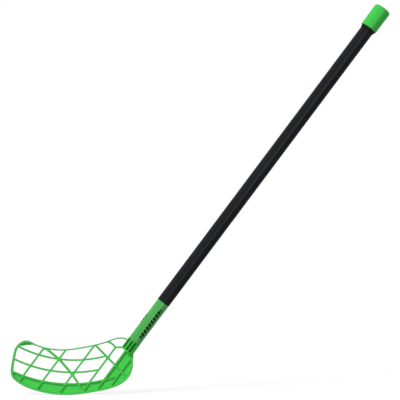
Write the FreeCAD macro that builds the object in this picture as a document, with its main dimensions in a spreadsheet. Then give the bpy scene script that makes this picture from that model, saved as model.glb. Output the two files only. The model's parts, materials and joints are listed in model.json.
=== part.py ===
import FreeCAD, Part
import math
import os

import Sketcher
from FreeCAD import Placement, Rotation, Vector

# A floorball stick in its playing pose: blade on the floor, shaft leaning up to the right.
# Lengths are in millimetres. X runs from the toe to the heel, Y away from the face of the
# blade that the toe curls towards, Z up. Along the shaft, heights are measured from the lie
# point, where the shaft's axis meets the floor. The finished pieces are then moved so that
# the origin is on that axis, in the middle of the grip.

SIZES = [
    # The shaft and the films on it
    ("shaft_lean", 53.2, "angle of the shaft above the floor, in degrees"),
    ("tube_diameter", 25.8, "outside of the shaft tube"),
    ("tube_wall", 1.7, "wall of the shaft tube"),
    ("tube_length", 815.7, "shaft tube, from the neck to the floor of the end cap"),
    ("label_length", 95.0, "label film above the neck"),
    ("label_thickness", 0.2, "label film"),
    ("grip_thickness", 0.6, "grip sleeve, which covers the tube from the label to the cap"),
    ("film_clearance", 0.05, "air between a piece and the one that it is fitted round"),
    ("end_gap", 0.3, "air between pieces that follow each other along the shaft"),
    # The end cap and the rubber bush that it sits on
    ("cap_length", 48.8, "end cap, from mouth to end"),
    ("cap_wall", 2.3, "wall of the cap at its mouth"),
    ("cap_flare", 0.45, "how much the cap's radius grows from mouth to end"),
    ("cap_end_thickness", 5.0, "closed end of the cap"),
    ("cap_end_radius", 5.0, "rounding of the cap's end"),
    ("cap_mouth_radius", 1.2, "rounding of the cap's mouth"),
    ("bush_clearance", 0.3, "air between the tube and the bush, which slides off with the cap"),
    ("bush_wall", 1.5, "wall of the bush inside the cap"),
    ("bush_stop", 4.0, "floor of the cap to the end of the bush"),
    ("lip_length", 6.9, "flared lip of the bush below the cap"),
    ("lip_foot_wall", 0.45, "wall of the lip at its thin end, next to the grip"),
    ("lip_wall", 2.8, "wall of the lip at its wide end, under the cap"),
    # The neck of the blade and its spigot in the tube
    ("neck_drop", 34.5, "level of the rim's top down to the neck's lower face, along the shaft"),
    ("neck_length", 25.6, "neck, up to the shoulder that the tube stands on"),
    ("neck_step", 0.6, "how far the neck stands out from the tube"),
    ("slot_width", 3.8, "coring slot in the neck"),
    ("slot_pitch", 6.75, "coring slot to coring slot"),
    ("slot_offset", 2.9, "shaft's axis to the middle slot, on the toe side"),
    ("slot_ring_below", 3.3, "solid ring of the neck below the slots"),
    ("slot_ring_above", 1.5, "solid ring of the neck above the slots"),
    ("slot_web", 2.5, "wall left between the front and the back slots"),
    ("spigot_length", 60.0, "spigot inside the tube"),
    ("spigot_clearance", 0.1, "air between the spigot and the tube"),
    ("core_diameter", 12.0, "hollow core of the spigot"),
    ("core_floor", 8.0, "solid stretch of the spigot below its core"),
    # The blade
    ("blade_length", 240.0, "blade, from heel to toe"),
    ("blade_height", 113.1, "blade, from its sole to the top of its rim"),
    ("blade_hook", 15.0, "how far the toe curls forward"),
    ("rib_depth", 7.0, "ribs and rim, from face to face"),
    ("web_thickness", 2.5, "solid web of the sole, the heel and the toe corner"),
    ("rib_width", 3.7, "rib that runs beside the shaft"),
    ("level_rib_width", 2.9, "rib that runs from toe to heel, and the arch"),
    ("brace_width", 4.0, "main diagonal brace"),
    ("strut_width", 3.4, "lower end of the brace, and the heel's diagonal"),
    ("rim_width", 4.4, "rim round the toe, the sole and the heel"),
    ("top_rim_width", 2.1, "rim along the top"),
    ("crossing_radius", 2.7, "round swelling where thin ribs cross"),
    ("node_radius", 3.9, "round swelling where diagonals meet ribs"),
    ("neck_grasp", 1.0, "how far ribs and rim reach into the neck"),
    ("heel_rim_rise", 5.5, "neck's lower face up to the end of the heel's rim"),
    ("top_rim_drop", 5.1, "neck's shoulder down to the end of the top rim"),
    ("arch_drop", 7.0, "neck's lower face down to the arch beside it"),
    ("arch_offset", 22.5, "shaft's axis to the rib below the arch, on the toe side"),
    ("arch_start", 44.3, "shaft's axis to the start of the arch at the top rim, on the toe side"),
    ("arch_rise", 2.2, "how far the arch bulges towards the neck"),
    ("heel_rib_offset", 2.5, "shaft's axis to the edge rib of the heel's web, on the toe side"),
    ("neck_rib_gap", 1.0, "neck's outside to the rib beside it, on the heel side"),
    # The blade screws, at the back of the shaft
    ("screw_first", 16.0, "neck's shoulder to the first screw"),
    ("screw_spacing", 26.0, "first screw to second screw"),
    ("screw_diameter", 3.5, "thread of a blade screw"),
    ("screw_length", 9.5, "blade screw below its head"),
    ("screw_tip", 2.0, "pointed end of a blade screw"),
    ("screw_clearance", 0.1, "air round a blade screw"),
    ("head_diameter", 6.8, "pan head of a blade screw"),
    ("head_height", 2.2, "pan head of a blade screw"),
    ("head_rounding", 1.0, "edge of the pan head"),
    ("recess_span", 4.0, "cross recess, from end to end"),
    ("recess_width", 0.9, "slot of the cross recess"),
    ("recess_depth", 1.3, "cross recess, below the top of the head"),
]
SCREW_COUNT = 2
SLOT_COUNT = 3

# The blade's drawing, as X and Z from the lie point, for a blade of the length and height
# given here. Other sizes stretch it.
DRAWN_LENGTH = 240.0
DRAWN_HEIGHT = 113.1
HEEL_AND_SOLE = [(76.4, 66.4), (73.1, 43.9), (58.3, 24.9), (33.2, 12.9), (-5, 5), (-53, 0), (-106, 7)]
TOE = [(-148, 24.5), (-162.2, 40), (-163.2, 53), (-159.3, 76.8), (-153.4, 96), (-135.3, 108)]
TOP = [(-115.2, 100.2), (-94.5, 93.4), (-65.7, 89.8), (-22.8, 94.2), (27.2, 106.5), (49.5, 113.0)]
UPPER_RIB = [(-151, 97.6), (-70.7, 70.9), (47.3, 84.3)]
LOWER_RIB = [(-161.8, 74.4), (-75.7, 46.6), (37.2, 56.8)]
SOLE_RIB = [(-163.7, 49), (-58.8, 21.6), (67.4, 46.2)]
TOE_CORNER = [(-157.8, 96.7), (-110.4, 100.5)]
BRACE_TOP = (-96.5, 93)
BRACE_MIDDLE = (-43, 39.5)
BRACE_FOOT = (-21.5, 6)
HEEL_CORNER = (64.7, 33.8)
# Ribs of the open mesh that run beside the shaft, by their distance across from its axis
MESH_RIBS = [-135, -98, -58.4]
# Longer than any rib or web, for cuts that run right through the blade
BEYOND = 400.0
# Middle of the polygon that a section's sides start from
FIRST_GUESS = Vector(2, 2, 0)

document = FreeCAD.newDocument("floorball_stick")
sheet = document.addObject("Spreadsheet::Sheet", "sizes")
for row, (alias, number, meaning) in enumerate(SIZES, start=1):
    sheet.set(f"A{row}", meaning)
    sheet.set(f"B{row}", str(number))
    sheet.setAlias(f"B{row}", alias)
document.recompute()


def size(alias):
    """The number that the sheet holds for a size."""
    return float(getattr(sheet, alias))


# Places along the shaft and radii, as expressions of the sheet's cells
TUBE_OUTSIDE = "sizes.tube_diameter / 2"
TUBE_INSIDE = f"({TUBE_OUTSIDE} - sizes.tube_wall)"
NECK_START = "(sizes.blade_height / sin(sizes.shaft_lean * 1 deg) - sizes.neck_drop)"
SHOULDER = f"({NECK_START} + sizes.neck_length)"
TUBE_START = f"({SHOULDER} + sizes.end_gap)"
TUBE_END = f"({TUBE_START} + sizes.tube_length)"
FILM_INSIDE = f"({TUBE_OUTSIDE} + sizes.film_clearance)"
LABEL_OUTSIDE = f"({FILM_INSIDE} + sizes.label_thickness)"
LABEL_END = f"({TUBE_START} + sizes.label_length)"
GRIP_OUTSIDE = f"({FILM_INSIDE} + sizes.grip_thickness)"
CAP_FLOOR = f"({TUBE_END} + sizes.end_gap)"
CAP_END = f"({CAP_FLOOR} + sizes.cap_end_thickness)"
CAP_MOUTH = f"({CAP_END} - sizes.cap_length)"
LIP_START = f"({CAP_MOUTH} - sizes.lip_length)"
GRIP_START = f"({LABEL_END} + sizes.end_gap)"
GRIP_END = f"({LIP_START} - sizes.end_gap)"
BUSH_INSIDE = f"({TUBE_OUTSIDE} + sizes.bush_clearance)"
BUSH_OUTSIDE = f"({BUSH_INSIDE} + sizes.bush_wall)"
CAP_INSIDE = f"({BUSH_OUTSIDE} + sizes.film_clearance)"
CAP_OUTSIDE = f"({CAP_INSIDE} + sizes.cap_wall)"
NECK_OUTSIDE = f"({TUBE_OUTSIDE} + sizes.neck_step)"
SPIGOT_OUTSIDE = f"({TUBE_INSIDE} - sizes.spigot_clearance)"
SPIGOT_END = f"({SHOULDER} + sizes.spigot_length)"
SCREW_HOLE = "(sizes.screw_diameter / 2 + sizes.screw_clearance)"
HEAD_SEAT = f"({LABEL_OUTSIDE} + sizes.film_clearance)"


def screw_height(number):
    """Where a blade screw stands along the shaft, counted from 0."""
    return f"({SHOULDER} + sizes.screw_first + {number} * sizes.screw_spacing)"


# Sketched bodies


def origin_plane(body, role):
    """One of a body's own origin planes."""
    return next(plane for plane in body.Origin.OriginFeatures if plane.Role == role)


def tie_corner(sketch, side, direction, guess, expression):
    """Ties the start of a side of a section to the sketch's axis, or to a distance from its origin."""
    if expression == "0":
        axis = {"DistanceX": -2, "DistanceY": -1}[direction]
        sketch.addConstraint(Sketcher.Constraint("PointOnObject", side, 1, axis))
        return
    index = sketch.addConstraint(Sketcher.Constraint(direction, -1, 1, side, 1, guess))
    name = f"{direction}_{side}"
    sketch.renameConstraint(index, name)
    sketch.setExpression(f"Constraints.{name}", expression)


def add_section(sketch, corners):
    """A closed polygon; each corner is a radius and a height, as expressions.

    The sides start as a regular polygon, and the constraints then pull them to their places.
    """
    count = len(corners)
    turns = [2 * math.pi * number / count for number in range(count)]
    start = [FIRST_GUESS + Vector(math.cos(turn), math.sin(turn), 0) for turn in turns]
    for number in range(count):
        sketch.addGeometry(Part.LineSegment(start[number], start[(number + 1) % count]))
    for number in range(count):
        sketch.addConstraint(Sketcher.Constraint("Coincident", number, 2, (number + 1) % count, 1))
    for number, (radius, height) in enumerate(corners):
        tie_corner(sketch, number, "DistanceX", start[number].x, radius)
        tie_corner(sketch, number, "DistanceY", start[number].y, height)


def turned_body(name, corners):
    """A piece turned about the upright axis, from the corners of its half section."""
    body = document.addObject("PartDesign::Body", name)
    sketch = body.newObject("Sketcher::SketchObject", f"{name}_section")
    sketch.AttachmentSupport = [(origin_plane(body, "XZ_Plane"), "")]
    sketch.MapMode = "FlatFace"
    add_section(sketch, corners)
    turned = body.newObject("PartDesign::Revolution", f"{name}_turned")
    turned.Profile = sketch
    turned.ReferenceAxis = (sketch, ["V_Axis"])
    turned.Angle = 360
    document.recompute()
    return body


def round_rim(body, name, pick_end, radius):
    """Rounds the outermost circular edge at one end of a turned body: max or min of its heights."""
    base = body.Tip
    circles = [
        (edge.Curve.Center.z, edge.Curve.Radius, f"Edge{number}")
        for number, edge in enumerate(base.Shape.Edges, start=1)
        if isinstance(edge.Curve, Part.Circle)
    ]
    end = pick_end(height for height, _, _ in circles)
    _, edge_name = max((across, edge) for height, across, edge in circles if math.isclose(height, end))
    rounding = body.newObject("PartDesign::Fillet", name)
    rounding.Base = (base, [edge_name])
    rounding.setExpression("Radius", radius)
    document.recompute()


def ring(name, inside, outside, low, high):
    """A plain round sleeve between two radii and two heights."""
    return turned_body(name, [(inside, low), (outside, low), (outside, high), (inside, high)])


# Primitives and booleans


def bind(thing, **expressions):
    """Binds an object's properties to expressions; x, y and z stand for its place."""
    for key, expression in expressions.items():
        thing.setExpression(f"Placement.Base.{key}" if key in "xyz" else key, expression)


def group(name, members):
    """Separate shapes held together as one object."""
    compound = document.addObject("Part::Compound", name)
    compound.Links = members
    return compound


def cut_away(name, base, tool):
    """What is left of one object after another is cut out of it."""
    cut = document.addObject("Part::Cut", name)
    cut.Base = base
    cut.Tool = tool
    return cut


def screw_hole(number):
    """A round hole from the shaft's axis out through its back."""
    hole = document.addObject("Part::Cylinder", f"screw_hole_{number + 1}")
    hole.Placement = Placement(Vector(), POINT_BACKWARD)
    bind(hole, Radius=SCREW_HOLE, Height=HEAD_SEAT, z=screw_height(number))
    return hole


def neck_slot(number, side):
    """A coring slot in the neck; side is front or back."""
    slot = document.addObject("Part::Box", f"neck_slot_{side}_{number + 1}")
    nearest = {"back": "sizes.slot_web / 2", "front": f"-sizes.slot_web / 2 - {NECK_OUTSIDE}"}[side]
    step = number - (SLOT_COUNT - 1) / 2
    bind(
        slot,
        Length="sizes.slot_width",
        Width=NECK_OUTSIDE,
        Height="sizes.neck_length - sizes.slot_ring_below - sizes.slot_ring_above",
        x=f"{step} * sizes.slot_pitch - sizes.slot_width / 2 - sizes.slot_offset",
        y=nearest,
        z=f"{NECK_START} + sizes.slot_ring_below",
    )
    return slot


# The blade's drawing in the XZ plane, as walls that stand through all of its depth


def on_shaft(along, across):
    """A point by its distance along the shaft's axis and across from it, towards the heel."""
    return ALONG * along + ACROSS * across


def drawn(points):
    """Points of the drawing, stretched to the blade's length and height."""
    return [Vector(x * STRETCH_LENGTH, 0, z * STRETCH_HEIGHT) for x, z in points]


def line(start, end):
    return Part.LineSegment(start, end).toShape()


def arc(points):
    """The arc through three points."""
    return Part.Arc(*points).toShape()


def smooth(points):
    """The smooth curve through points."""
    curve = Part.BSplineCurve()
    curve.interpolate(points)
    return curve


def moved_inward(curve, points, distances):
    """Points moved square off a curve, to the side that is on the right when following it."""
    moved = []
    for point, distance in zip(points, distances):
        direction = curve.getD1(curve.parameter(point))[1].normalize()
        moved.append(point + Vector(direction.z, 0, -direction.x) * distance)
    return moved


def crossing(first, second):
    """The point where two edges cross."""
    return first.distToShape(second)[1][0][0]


def wall(edges):
    """A wall that fills the drawing inside edges that follow each other."""
    face = Part.Face(Part.Wire(edges))
    if face.normalAt(0, 0).y < 0:
        face = face.reversed()
    return face.translated(Vector(0, -BEYOND, 0)).extrude(Vector(0, 2 * BEYOND, 0))


def polygon_wall(corners):
    return wall([line(start, end) for start, end in zip(corners, corners[1:] + corners[:1])])


def band_wall(inner, outer):
    """A wall between two arcs, each given by three points."""
    return wall([arc(inner), line(inner[2], outer[2]), arc(outer), line(outer[0], inner[0])])


def straight_rib(start, end, width):
    half = (end - start).normalize().cross(Vector(0, 1, 0)) * (width / 2)
    return polygon_wall([start + half, end + half, end - half, start - half])


def arc_rib(points, width):
    middle = arc(points).Curve
    outward = [(point - middle.Center).normalize() * (width / 2) for point in points]
    inner = [point - step for point, step in zip(points, outward)]
    outer = [point + step for point, step in zip(points, outward)]
    return band_wall(inner, outer)


def swelling(centre, radius):
    return wall([Part.makeCircle(radius, centre, Vector(0, 1, 0))])


def joined(walls):
    return walls[0].fuse(walls[1:])


def given_depth(walls, depth):
    """The part of walls that lies inside a slab of a depth, which follows the blade's curl."""
    reach = size("blade_length")
    hook = size("blade_hook")
    radius = (reach ** 2 + hook ** 2) / (2 * hook)
    heel = drawn(HEEL_AND_SOLE)[0].x
    # The slab runs half a blade's length past the heel and the toe
    places = [heel + reach / 2, heel - reach / 2, heel - reach * 3 / 2]
    sides = []
    for bend in (radius - depth / 2, radius + depth / 2):
        sides.append([Vector(x, math.sqrt(bend ** 2 - (x - heel) ** 2) - radius, -BEYOND) for x in places])
    near, far = sides
    plan = Part.Face(Part.Wire([arc(near), line(near[2], far[2]), arc(far), line(far[0], near[0])]))
    return walls.common(plan.extrude(Vector(0, 0, 2 * BEYOND)))


def blade_mesh():
    """Rim, ribs and webs of the blade, in one solid."""
    neck_radius = size("tube_diameter") / 2 + size("neck_step")
    neck_start = size("blade_height") / math.sin(LEAN) - size("neck_drop")
    shoulder = neck_start + size("neck_length")
    grasp = neck_radius - size("neck_grasp")
    into_neck = neck_start + size("neck_grasp")
    rib = size("rib_width")
    level_rib = size("level_rib_width")
    strut = size("strut_width")

    # Rim: from the heel's side of the neck round the sole and the toe, and back along the top
    lower = [on_shaft(neck_start + size("heel_rim_rise"), grasp)] + drawn(HEEL_AND_SOLE + TOE)
    upper = drawn(TOP) + [on_shaft(shoulder - size("top_rim_drop"), -grasp)]
    widths = [size("rim_width")] * len(lower) + [size("top_rim_width")] * len(upper)
    outside = smooth(lower + upper)
    middle = smooth(moved_inward(outside, lower + upper, [width / 2 for width in widths]))
    inside = smooth(moved_inward(outside, lower + upper, widths))
    whole = wall([outside.toShape(), line(outside.EndPoint, outside.StartPoint)])
    # Webs end in the middle of the rim, and the room inside the rim is left open up into the neck
    web_limit = wall([middle.toShape(), line(middle.EndPoint, middle.StartPoint)])
    in_neck = on_shaft(shoulder, 0)
    room = wall([inside.toShape(), line(inside.EndPoint, in_neck), line(in_neck, inside.StartPoint)])

    # Middle lines of the ribs
    arch = -size("arch_offset")
    neck_rib = neck_radius + size("neck_rib_gap")
    mesh_ribs = [across * STRETCH_LENGTH for across in MESH_RIBS]
    toe_line, middle_line, brace_line, arch_line, neck_line, arch_start_line = [
        line(on_shaft(-BEYOND, across), on_shaft(BEYOND, across))
        for across in mesh_ribs + [arch, neck_rib, -size("arch_start")]
    ]
    upper_arc, lower_arc, sole_arc = drawn(UPPER_RIB), drawn(LOWER_RIB), drawn(SOLE_RIB)
    top_edge = smooth(upper).toShape()

    # Arch: from the top rim to the neck
    arch_foot = crossing(arch_start_line, top_edge)
    arch_top = on_shaft(neck_start - size("arch_drop"), arch)
    arch_upward = (arch_top - arch_foot).normalize().cross(Vector(0, 1, 0))
    arch_middle = (arch_foot + arch_top) / 2 + arch_upward * size("arch_rise")

    # Diagonals: a brace from the top to the sole, and a strut from the top to the heel's corner
    brace = drawn([BRACE_TOP, BRACE_MIDDLE, BRACE_FOOT])
    brace.insert(1, crossing(middle_line, arc(upper_arc)))
    strut_ends = [crossing(brace_line, top_edge)] + drawn([HEEL_CORNER])
    strut_line = line(*strut_ends)

    # Level ribs end where they meet the strut, the arch's rib and the rib beside the neck
    ribs = [
        arc_rib(level[:2] + [crossing(arc(level), stop)], level_rib)
        for level, stop in ((upper_arc, strut_line), (lower_arc, arch_line), (sole_arc, neck_line))
    ]
    uprights = [(across, BEYOND) for across in mesh_ribs]
    uprights += [(arch, neck_start - size("arch_drop"))]
    uprights += [(-size("heel_rib_offset"), into_neck), (neck_rib, into_neck)]
    ribs += [straight_rib(on_shaft(-BEYOND, across), on_shaft(top, across), rib) for across, top in uprights]
    ribs += [arc_rib([arch_foot, arch_middle, arch_top], level_rib)]
    ribs += [straight_rib(arch_top, on_shaft(into_neck, -grasp), level_rib)]
    ribs += [swelling(arch_top, rib / 2)]
    brace_widths = [size("brace_width"), size("brace_width"), strut]
    ribs += [straight_rib(*ends, width) for *ends, width in zip(brace, brace[1:], brace_widths)]
    ribs += [straight_rib(*strut_ends, strut)]
    nodes = brace[:3] + [strut_ends[0], crossing(strut_line, arch_line)]
    ribs += [swelling(node, size("node_radius")) for node in nodes]
    ribs += [
        swelling(crossing(upright, arc(level)), size("crossing_radius"))
        for upright in (toe_line, middle_line, brace_line)
        for level in (upper_arc, lower_arc)
    ]
    cells = room.cut(ribs)
    skeleton = whole.cut(cells)

    # Webs: below the sole rib, beside the heel's edge rib and in the toe's corner
    depth = Vector(0, 0, BEYOND)
    sole_end, sole_start = sole_arc[2] - depth, sole_arc[0] - depth
    sole = wall(
        [
            arc(sole_arc),
            line(sole_arc[2], sole_end),
            line(sole_end, sole_start),
            line(sole_start, sole_arc[0]),
        ]
    )
    heel = polygon_wall(
        [
            on_shaft(-BEYOND, -size("heel_rib_offset")),
            on_shaft(-BEYOND, BEYOND),
            on_shaft(into_neck, BEYOND),
            on_shaft(into_neck, -size("heel_rib_offset")),
        ]
    )
    corner_start, corner_end = drawn(TOE_CORNER)
    toe = polygon_wall([corner_start, corner_end, corner_end + depth, corner_start + depth])
    web = joined([sole, heel, toe]).common(web_limit)

    return given_depth(skeleton, size("rib_depth")).fuse(given_depth(web, size("web_thickness")))


# Directions and places that the sheet sets
LEAN = math.radians(size("shaft_lean"))
ALONG = Vector(math.cos(LEAN), 0, math.sin(LEAN))
ACROSS = Vector(math.sin(LEAN), 0, -math.cos(LEAN))
STRETCH_LENGTH = size("blade_length") / DRAWN_LENGTH
STRETCH_HEIGHT = size("blade_height") / DRAWN_HEIGHT
POINT_BACKWARD = Rotation(Vector(1, 0, 0), -90)
LEANING = Rotation(Vector(0, 1, 0), 90 - size("shaft_lean"))


# The pieces, upright on the lie point


def make_screw(number):
    """A pan-head screw, standing on its tip along the back of the shaft's radius."""
    name = f"blade_screw_{number + 1}"
    seat = "sizes.screw_length"
    thread = "sizes.screw_diameter / 2"
    head = "sizes.head_diameter / 2"
    top = f"({seat} + sizes.head_height)"
    tip_end = "sizes.screw_tip"
    section = [("0", "0"), (thread, tip_end), (thread, seat), (head, seat), (head, top), ("0", top)]
    body = turned_body(f"{name}_turned", section)
    round_rim(body, f"{name}_rounding", max, "sizes.head_rounding")
    slots = []
    for sides in (("recess_span", "recess_width"), ("recess_width", "recess_span")):
        slot = document.addObject("Part::Box", f"{name}_{sides[0]}")
        length, width = [f"sizes.{side}" for side in sides]
        bind(slot, Length=length, Width=width, Height="sizes.recess_depth")
        bind(slot, x=f"-{length} / 2", y=f"-{width} / 2", z=f"{top} - sizes.recess_depth")
        slots.append(slot)
    screw = cut_away(name, body, group(f"{name}_recess", slots))
    screw.Placement = Placement(Vector(), POINT_BACKWARD)
    bind(screw, y=f"{HEAD_SEAT} - sizes.screw_length", z=screw_height(number))
    return screw


screw_holes = group("screw_holes", [screw_hole(number) for number in range(SCREW_COUNT)])

plain_tube = ring("plain_tube", TUBE_INSIDE, TUBE_OUTSIDE, TUBE_START, TUBE_END)
plain_label = ring("plain_label", FILM_INSIDE, LABEL_OUTSIDE, TUBE_START, LABEL_END)
tube = cut_away("shaft_tube", plain_tube, screw_holes)
label = cut_away("shaft_label", plain_label, screw_holes)
grip = ring("grip_sleeve", FILM_INSIDE, GRIP_OUTSIDE, GRIP_START, GRIP_END)

bush_end = f"{CAP_FLOOR} - sizes.bush_stop"
lip_top = f"{CAP_MOUTH} - sizes.film_clearance"
bush = turned_body(
    "cap_bush",
    [
        (BUSH_INSIDE, LIP_START),
        (f"{BUSH_INSIDE} + sizes.lip_foot_wall", LIP_START),
        (f"{BUSH_INSIDE} + sizes.lip_wall", lip_top),
        (BUSH_OUTSIDE, lip_top),
        (BUSH_OUTSIDE, bush_end),
        (BUSH_INSIDE, bush_end),
    ],
)

cap = turned_body(
    "end_cap",
    [
        (CAP_INSIDE, CAP_MOUTH),
        (CAP_OUTSIDE, CAP_MOUTH),
        (f"{CAP_OUTSIDE} + sizes.cap_flare", CAP_END),
        ("0", CAP_END),
        ("0", CAP_FLOOR),
        (CAP_INSIDE, CAP_FLOOR),
    ],
)
round_rim(cap, "cap_end_rounding", max, "sizes.cap_end_radius")
round_rim(cap, "cap_mouth_rounding", min, "sizes.cap_mouth_radius")

core = "sizes.core_diameter / 2"
core_start = f"({SHOULDER} + sizes.core_floor)"
plain_neck = turned_body(
    "plain_neck",
    [
        ("0", NECK_START),
        (NECK_OUTSIDE, NECK_START),
        (NECK_OUTSIDE, SHOULDER),
        (SPIGOT_OUTSIDE, SHOULDER),
        (SPIGOT_OUTSIDE, SPIGOT_END),
        (core, SPIGOT_END),
        (core, core_start),
        ("0", core_start),
    ],
)
neck_slots = [neck_slot(number, side) for number in range(SLOT_COUNT) for side in ("front", "back")]
neck = cut_away("blade_neck", plain_neck, group("neck_openings", neck_slots + [screw_holes]))
neck.Placement = Placement(Vector(), LEANING)
mesh = document.addObject("Part::Feature", "blade_mesh")
mesh.Shape = blade_mesh()
blade = document.addObject("Part::MultiFuse", "blade")
blade.Shapes = [neck, mesh]
blade.Refine = True

screws = group("blade_screws", [make_screw(number) for number in range(SCREW_COUNT)])
document.recompute()

# The origin moves from the lie point to the middle of the grip
grip_middle = grip.Shape.BoundBox.Center.z
to_grip = ALONG * -grip_middle
for piece in (tube, label, grip, bush, cap, screws):
    piece.Placement = Placement(to_grip, LEANING)
blade.Placement = Placement(to_grip, Rotation())
document.recompute()

# Nothing is written unless every object is sound
for thing in document.Objects:
    if "Invalid" in thing.State or "Error" in thing.State:
        raise RuntimeError(f"{thing.Label} failed: {thing.State}")
pieces = (tube, label, grip, bush, cap, blade, screws)
for piece in pieces:
    if piece.Shape.isNull() or not piece.Shape.isValid():
        raise RuntimeError(f"{piece.Label} has no sound shape")
os.makedirs("parts", exist_ok=True)
for piece in pieces:
    piece.Shape.exportStep(f"parts/{piece.Label}.step")
    print(f"{piece.Label}: {len(piece.Shape.Solids)} solids, {piece.Shape.Volume:.1f} mm3")
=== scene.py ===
import json
import math

import bpy
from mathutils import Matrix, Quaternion, Vector


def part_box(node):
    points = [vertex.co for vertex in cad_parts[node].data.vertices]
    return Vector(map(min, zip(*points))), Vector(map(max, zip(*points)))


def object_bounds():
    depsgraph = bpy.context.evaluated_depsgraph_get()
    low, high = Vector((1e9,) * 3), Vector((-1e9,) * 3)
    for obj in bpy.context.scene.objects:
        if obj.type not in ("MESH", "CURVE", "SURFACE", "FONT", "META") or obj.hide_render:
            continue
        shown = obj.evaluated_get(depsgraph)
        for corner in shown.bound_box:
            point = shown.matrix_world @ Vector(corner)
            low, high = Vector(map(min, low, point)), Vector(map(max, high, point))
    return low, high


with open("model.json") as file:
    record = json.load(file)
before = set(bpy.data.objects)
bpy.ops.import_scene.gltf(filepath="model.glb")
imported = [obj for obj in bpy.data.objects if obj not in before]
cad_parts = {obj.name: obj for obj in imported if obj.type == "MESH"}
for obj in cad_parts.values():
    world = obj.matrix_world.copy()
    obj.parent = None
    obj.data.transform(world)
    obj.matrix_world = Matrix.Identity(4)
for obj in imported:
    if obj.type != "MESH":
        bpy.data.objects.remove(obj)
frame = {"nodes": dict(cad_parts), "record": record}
cad_low, cad_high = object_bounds()

# Sizes are in metres and colours are sRGB shares
MILLIMETRE = 0.001

# Camera, square on to the flat of the blade
CAMERA_PLACE = (-0.1284, -3.0263, -0.0658)
FRAME_PIXELS = 400
FOCAL_PIXELS = 1530

# Studio: an even white room, a broad key from the upper left and a strip beside the camera
FLOOR_WIDTH = 60.0
FLOOR_GLOW = 0.82
FLOOR_SHADED = 0.22
FLOOR_BOUNCE = 0.5
WORLD_LIGHT = 0.30
KEY_FROM = (-0.50, -0.56, 0.66)
KEY_SPREAD = math.radians(24)
KEY_STRENGTH = 2.75
STRIP_PLACE = (0.478, -3.0, 0.044)
STRIP_WIDTH = 0.12
STRIP_LENGTH = 1.2
STRIP_POWER = 54.0

# Finishes
BLADE_GREEN = (0.287, 0.858, 0.331)
CAP_GREEN = (0.262, 0.775, 0.303)
LABEL_GREEN = (0.255, 0.65, 0.283)
PRINT_GREEN = (0.03, 0.17, 0.04)
GRIP_BLACK = (0.122, 0.132, 0.145)
RUBBER_BLACK = (0.10, 0.10, 0.105)
TUBE_GREY = (0.16, 0.165, 0.17)
SCREW_STEEL = (0.72, 0.72, 0.73)

# Edges of the mouldings look rounded by this much
EDGE_RADIUS = 0.9 * MILLIMETRE
EDGE_SAMPLES = 8

# Painted shade: thin ribs are painted darker than the webs, by a share fitted to how dark they are in
# the photo
THIN_SHADE_DEPTH = 2.4 * MILLIMETRE
THIN_SHADE_SAMPLES = 16
THIN_SHADE_SHARE = 0.58

# Print on the label: rows of slanted bars, in millimetres. Start and end run along the shaft from
# the middle of the grip, and low and high run round it from the side that faces the camera.
PRINT_PITCH = 7.6
PRINT_SLANT = 0.35
PRINT_ROWS = {
    "front": {"start": -418.0, "end": -349.0, "low": 1.6, "high": 9.4, "bar": 5.6},
    "side": {"start": -392.0, "end": -370.5, "low": -20.5, "high": -13.0, "bar": 5.0},
}

record = frame["record"]
mounts = {mount["name"]: mount for mount in record["mounts"]}
SHAFT_AXIS = Vector(mounts["grip"]["axis"])
SHAFT_TILT = math.atan2(SHAFT_AXIS.x, SHAFT_AXIS.z)
FLOOR_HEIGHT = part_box("blade")[0].z


# Materials


def paint(colour):
    """A colour picked as sRGB, as the linear values that a shader takes."""
    linear = [
        ((share + 0.055) / 1.055) ** 2.4 if share > 0.04045 else share / 12.92
        for share in colour
    ]
    return (*linear, 1.0)


def deeper(colour, share):
    """A colour with its light cut to a share."""
    return tuple(part * share for part in colour)


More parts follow.
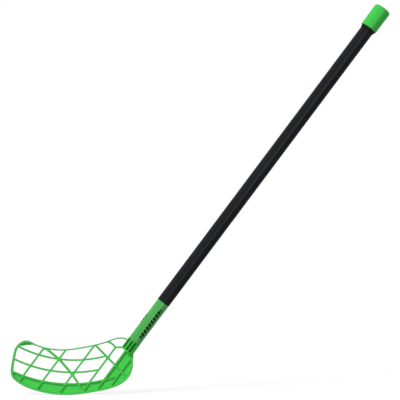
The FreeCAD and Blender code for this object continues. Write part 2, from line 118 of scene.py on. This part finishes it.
class Finish:
    """A material and short ways to add nodes to it."""

    def __init__(self, name):
        self.material = bpy.data.materials.new(name)
        self.material.use_nodes = True
        self.tree = self.material.node_tree
        self.shader = self.tree.nodes["Principled BSDF"]

    def add(self, kind, inputs=None, **settings):
        """A new node, with settings, and inputs that are numbers or other nodes' outputs."""
        node = self.tree.nodes.new(kind)
        for name, value in settings.items():
            setattr(node, name, value)
        for name, value in (inputs or {}).items():
            self.feed(node.inputs[name], value)
        return node

    def feed(self, socket, value):
        """Sets a socket to a number, or links it to an output."""
        if isinstance(value, bpy.types.NodeSocket):
            self.tree.links.new(value, socket)
        else:
            socket.default_value = value

    def shade(self, **inputs):
        """Sets the shader's sockets, named with underscores for spaces."""
        for name, value in inputs.items():
            self.feed(self.shader.inputs[name.replace("_", " ")], value)

    def sum(self, operation, first, second=0.0, third=0.0):
        """A number worked out from up to three others."""
        node = self.add("ShaderNodeMath", {0: first, 1: second, 2: third}, operation=operation)
        return node.outputs[0]

    def place(self, scale=(1, 1, 1)):
        """Coordinates along the shaft in Z, to the right of it in X and away from the camera in Y."""
        coordinates = self.add("ShaderNodeTexCoord").outputs["Object"]
        turned = self.mapped(coordinates, Rotation=(0, -SHAFT_TILT, 0))
        if scale == (1, 1, 1):
            return turned
        return self.mapped(turned, Scale=scale)

    def mapped(self, vector, **change):
        """Coordinates that are turned or scaled."""
        return self.add("ShaderNodeMapping", {"Vector": vector, **change}).outputs["Vector"]

    def noise(self, place, scale, detail=3.0, roughness=0.5):
        """A cloudy pattern from 0 to 1."""
        inputs = {"Vector": place, "Scale": scale, "Detail": detail, "Roughness": roughness}
        return self.add("ShaderNodeTexNoise", inputs).outputs["Fac"]

    def spread(self, value, low, high):
        """A pattern from 0 to 1, spread from one number to another."""
        inputs = {"Value": value, "To Min": low, "To Max": high}
        return self.add("ShaderNodeMapRange", inputs).outputs["Result"]

    def mix(self, share, first, second):
        """A colour between two others."""
        node = self.add("ShaderNodeMix", data_type="RGBA")
        share_socket, first_socket, second_socket = node.inputs[0], node.inputs[6], node.inputs[7]
        for socket, value in ((share_socket, share), (first_socket, first), (second_socket, second)):
            self.feed(socket, value)
        return node.outputs[2]

    def tint(self, pattern, colour, low, high):
        """A colour whose light a pattern varies between two shares."""
        return self.mix(pattern, paint(deeper(colour, low)), paint(deeper(colour, high)))

    def bump(self, height, strength, depth, under=None):
        """A normal from a height pattern, laid over another normal where one is given."""
        inputs = {"Height": height, "Strength": strength, "Distance": depth}
        if under is not None:
            inputs["Normal"] = under
        return self.add("ShaderNodeBump", inputs).outputs["Normal"]


def moulded_plastic(name, colour, roughness, thin_shade_share=1.0):
    """Moulded polyethylene: rounded edges, cloudy flow marks, a fine satin skin and faint scuffs.

    Where it is thin, its colour is cut to a share of its light, as painted shade.
    """
    finish = Finish(name)
    place = finish.place()
    flow = finish.noise(finish.place((14, 14, 5)), 1.0, 4.0)
    skin = finish.noise(place, 1800, 2.0)
    scuffs = finish.noise(finish.place((900, 900, 90)), 1.0, 3.0, 0.6)
    clouded = finish.tint(flow, colour, 0.93, 1.05)
    # Painted shade: where the moulding is thin, the base colour is darkened to a share of its light
    shade_probe_settings = {"inside": True, "samples": THIN_SHADE_SAMPLES}
    shade_probe = finish.add("ShaderNodeAmbientOcclusion", {"Distance": THIN_SHADE_DEPTH}, **shade_probe_settings)
    thin_shade_colour = paint(deeper(colour, thin_shade_share))
    finish.shade(Base_Color=finish.mix(shade_probe.outputs["AO"], thin_shade_colour, clouded))
    worn = finish.sum("ADD", finish.spread(flow, -0.05, 0.05), finish.spread(scuffs, -0.06, 0.06))
    finish.shade(Roughness=finish.sum("ADD", worn, roughness))
    edges = finish.add("ShaderNodeBevel", {"Radius": EDGE_RADIUS}, samples=EDGE_SAMPLES)
    grain = finish.bump(skin, 0.25, 0.05 * MILLIMETRE, edges.outputs["Normal"])
    finish.shade(Normal=finish.bump(scuffs, 0.1, 0.04 * MILLIMETRE, grain))
    finish.shade(IOR=1.5, Specular_IOR_Level=0.1)
    return finish.material


def bars(finish, along, around, row):
    """1 on a row of slanted bars and 0 elsewhere."""
    leaning = finish.sum("MULTIPLY_ADD", around, PRINT_SLANT, along)
    phase = finish.sum("WRAP", finish.sum("SUBTRACT", leaning, row["start"]), PRINT_PITCH, 0.0)
    inside = finish.sum("LESS_THAN", phase, row["bar"])
    limits = ((along, row["start"], row["end"]), (around, row["low"], row["high"]))
    for value, low, high in limits:
        above = finish.sum("GREATER_THAN", value, low)
        below = finish.sum("LESS_THAN", value, high)
        inside = finish.sum("MULTIPLY", inside, finish.sum("MULTIPLY", above, below))
    return inside


def label_film(radius):
    """Printed satin film: green with rows of slanted bars in a dark, matt ink."""
    finish = Finish("printed_label_film")
    axes = finish.add("ShaderNodeSeparateXYZ", {"Vector": finish.place()}).outputs
    to_camera = finish.sum("MULTIPLY", axes["Y"], -1.0)
    angle = finish.sum("ARCTAN2", axes["X"], to_camera)
    around = finish.sum("MULTIPLY", angle, radius / MILLIMETRE)
    along = finish.sum("DIVIDE", axes["Z"], MILLIMETRE)
    printed = 0.0
    for row in PRINT_ROWS.values():
        printed = finish.sum("MAXIMUM", printed, bars(finish, along, around, row))
    fade = finish.noise(finish.place((40, 40, 6)), 1.0)
    ground = finish.tint(fade, LABEL_GREEN, 0.95, 1.05)
    finish.shade(Base_Color=finish.mix(printed, ground, paint(PRINT_GREEN)))
    film = finish.noise(finish.place((700, 700, 120)), 1.0)
    finish.shade(Roughness=finish.spread(film, 0.30, 0.42))
    finish.shade(Normal=finish.bump(film, 0.12, 0.03 * MILLIMETRE))
    finish.shade(IOR=1.5, Specular_IOR_Level=finish.spread(printed, 0.4, 0.08))
    return finish.material


def grip_film():
    """Black satin film with a fine lengthwise drawing and a soft grain."""
    finish = Finish("black_grip_film")
    drawn = finish.noise(finish.place((420, 420, 9)), 1.0, 4.0, 0.6)
    grain = finish.noise(finish.place(), 2200, 2.0)
    cloud = finish.noise(finish.place((30, 30, 7)), 1.0)
    finish.shade(Base_Color=finish.tint(cloud, GRIP_BLACK, 0.9, 1.1))
    sheen = finish.spread(drawn, 0.28, 0.38)
    finish.shade(Roughness=finish.sum("ADD", sheen, finish.spread(cloud, -0.03, 0.03)))
    lines = finish.bump(drawn, 0.12, 0.03 * MILLIMETRE)
    finish.shade(Normal=finish.bump(grain, 0.2, 0.03 * MILLIMETRE, lines))
    finish.shade(IOR=1.45, Specular_IOR_Level=0.04)
    return finish.material


def bush_rubber():
    """Black rubber, dull and finely pitted."""
    finish = Finish("black_bush_rubber")
    pits = finish.noise(finish.place(), 1500, 4.0, 0.65)
    bloom = finish.noise(finish.place(), 60)
    finish.shade(Base_Color=finish.tint(bloom, RUBBER_BLACK, 0.85, 1.2))
    finish.shade(Roughness=finish.spread(pits, 0.62, 0.80))
    finish.shade(Normal=finish.bump(pits, 0.3, 0.05 * MILLIMETRE))
    finish.shade(IOR=1.45, Specular_IOR_Level=0.08)
    return finish.material


def tube_composite():
    """Dark fibre composite: crossed plies under clear resin."""
    finish = Finish("fibre_composite")
    place = finish.place()
    plies = 0.0
    for turn in (math.radians(45), math.radians(-45)):
        turned = finish.mapped(place, Rotation=(turn, 0, 0))
        inputs = {"Vector": turned, "Scale": 160.0, "Distortion": 0.6}
        fibres = finish.add("ShaderNodeTexWave", inputs, bands_direction="Z").outputs["Fac"]
        plies = finish.sum("MAXIMUM", plies, fibres)
    finish.shade(Base_Color=finish.tint(plies, TUBE_GREY, 0.6, 1.2))
    finish.shade(Roughness=finish.spread(plies, 0.26, 0.42))
    finish.shade(Normal=finish.bump(plies, 0.15, 0.03 * MILLIMETRE))
    finish.shade(IOR=1.52, Specular_IOR_Level=0.12, Coat_Weight=0.06, Coat_Roughness=0.3)
    return finish.material


def screw_steel():
    """Turned steel with fine scratches and a little tarnish."""
    finish = Finish("screw_steel")
    scratches = finish.noise(finish.place((4000, 4000, 500)), 1.0)
    tarnish = finish.noise(finish.place(), 700)
    finish.shade(Base_Color=finish.tint(tarnish, SCREW_STEEL, 0.85, 1.0))
    finish.shade(Metallic=1.0, Roughness=finish.spread(scratches, 0.24, 0.42))
    finish.shade(Normal=finish.bump(scratches, 0.15, 0.02 * MILLIMETRE))
    return finish.material


def dress(piece, material):
    """Gives a piece one material."""
    piece.data.materials.clear()
    piece.data.materials.append(material)


# Studio


def shining(direction):
    """The turn of a lamp that shines in a direction."""
    return Vector(direction).to_track_quat("-Z", "Y")


def key_light():
    """A broad, even light, which isn't mirrored in the stick."""
    bpy.ops.object.light_add(type="SUN")
    key = bpy.context.object
    key.name = "key_light"
    key.data.energy = KEY_STRENGTH
    key.data.angle = KEY_SPREAD
    key.rotation_euler = shining(-Vector(KEY_FROM)).to_euler()
    key.visible_glossy = False
    key.visible_transmission = False


def strip_light():
    """A narrow light beside the camera, turned along the shaft, which draws the sheen on it."""
    bpy.ops.object.light_add(type="AREA", location=STRIP_PLACE)
    strip = bpy.context.object
    strip.name = "strip_light"
    strip.data.shape = "RECTANGLE"
    strip.data.size = STRIP_WIDTH
    strip.data.size_y = STRIP_LENGTH
    strip.data.energy = STRIP_POWER
    to_stick = (cad_low + cad_high) / 2 - strip.location
    along_shaft = Quaternion((0, 0, 1), -SHAFT_TILT)
    strip.rotation_euler = (shining(to_stick) @ along_shaft).to_euler()
    strip.visible_diffuse = False


def seen_directly(finish):
    """1 for what the camera, a gloss or a glass sees, and 0 for light that bounces."""
    path = finish.add("ShaderNodeLightPath").outputs
    glossy_or_clear = finish.sum("MAXIMUM", path["Is Glossy Ray"], path["Is Transmission Ray"])
    return finish.sum("MAXIMUM", path["Is Camera Ray"], glossy_or_clear)


def white_floor():
    """A white floor that takes the stick's shadow."""
    bpy.ops.object.select_all(action="DESELECT")
    bpy.ops.mesh.primitive_plane_add(size=FLOOR_WIDTH, location=(0, 0, FLOOR_HEIGHT))
    floor = bpy.context.object
    floor.name = "floor"
    finish = Finish("white_floor")
    finish.tree.nodes.remove(finish.shader)
    shaded = finish.add("ShaderNodeBsdfDiffuse", {"Color": (FLOOR_SHADED,) * 3 + (1,)}).outputs[0]
    glow = finish.add("ShaderNodeEmission", {"Strength": FLOOR_GLOW}).outputs[0]
    shown = finish.add("ShaderNodeAddShader", {0: shaded, 1: glow}).outputs[0]
    bounce = finish.add("ShaderNodeBsdfDiffuse", {"Color": (FLOOR_BOUNCE,) * 3 + (1,)}).outputs[0]
    either = {0: seen_directly(finish), 1: bounce, 2: shown}
    mixed = finish.add("ShaderNodeMixShader", either).outputs[0]
    finish.feed(finish.tree.nodes["Material Output"].inputs["Surface"], mixed)
    dress(floor, finish.material)


def white_world():
    """White where it is seen, and a plain even light elsewhere."""
    world = bpy.data.worlds.new("white_world")
    world.use_nodes = True
    bpy.context.scene.world = world
    tree = world.node_tree
    path = tree.nodes.new("ShaderNodeLightPath").outputs
    seen = path["Is Camera Ray"]
    for ray in ("Is Glossy Ray", "Is Transmission Ray"):
        either = tree.nodes.new("ShaderNodeMath")
        either.operation = "MAXIMUM"
        tree.links.new(seen, either.inputs[0])
        tree.links.new(path[ray], either.inputs[1])
        seen = either.outputs[0]
    strength = tree.nodes.new("ShaderNodeMapRange")
    strength.inputs["To Min"].default_value = WORLD_LIGHT
    tree.links.new(seen, strength.inputs["Value"])
    background = tree.nodes["Background"]
    background.inputs["Color"].default_value = (1, 1, 1, 1)
    tree.links.new(strength.outputs["Result"], background.inputs["Strength"])


def camera():
    """The camera, level and square on to the stick."""
    bpy.ops.object.camera_add(location=CAMERA_PLACE, rotation=(math.pi / 2, 0, 0))
    eye = bpy.context.object
    eye.data.angle = 2 * math.atan(FRAME_PIXELS / 2 / FOCAL_PIXELS)
    bpy.context.scene.camera = eye


# The stick

label_low, label_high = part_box("shaft_label")
label_radius = (label_high.y - label_low.y) / 2
for node, finish in {
    "blade": moulded_plastic("blade_moulding", BLADE_GREEN, 0.42, THIN_SHADE_SHARE),
    "end_cap": moulded_plastic("cap_moulding", CAP_GREEN, 0.40),
    "shaft_label": label_film(label_radius),
    "grip_sleeve": grip_film(),
    "cap_bush": bush_rubber(),
    "shaft_tube": tube_composite(),
    "blade_screws": screw_steel(),
}.items():
    dress(frame["nodes"][node], finish)

# The set
white_floor()
white_world()
key_light()
strip_light()
camera()
bpy.context.scene.view_settings.view_transform = "Standard"
